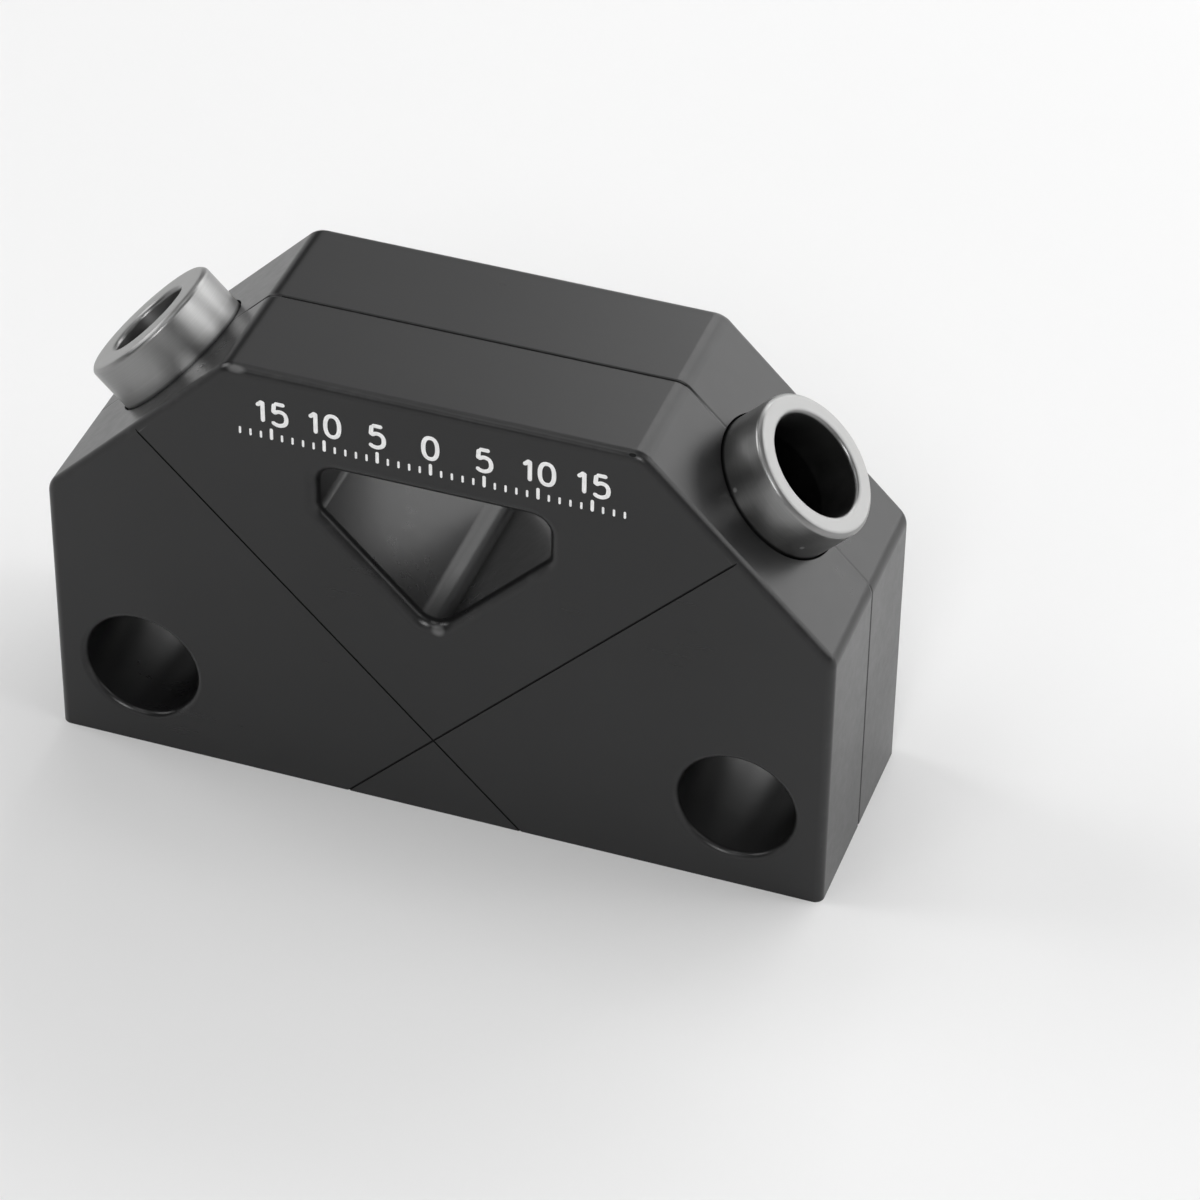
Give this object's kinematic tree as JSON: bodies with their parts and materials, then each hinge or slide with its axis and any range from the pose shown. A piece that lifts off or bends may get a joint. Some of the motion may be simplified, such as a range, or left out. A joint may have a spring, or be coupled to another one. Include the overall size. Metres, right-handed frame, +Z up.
{
  "type": "pocket hole jig",
  "caption": "Moulded drill guide block with sloping shoulders and pressed-in steel bushes that lead an 8 mm or a 10 mm drill at 45 degrees, with a sight window and clamp holes.",
  "frame": {"origin": "centre of the base, in the plane that the block stands on", "axes": "+X to the right along the base, seen from the front; +Y from front to back through the thickness; +Z up"},
  "size_m": [0.075, 0.0232, 0.046],
  "materials": {
    "moulded_plastic": "fine matt moulded surface",
    "bush_steel": "turned, satin"
  },
  "bodies": {
    "root": {"jig_body": "moulded_plastic", "left_guide_bush": "bush_steel", "right_guide_bush": "bush_steel"}
  },
  "joints": []
}
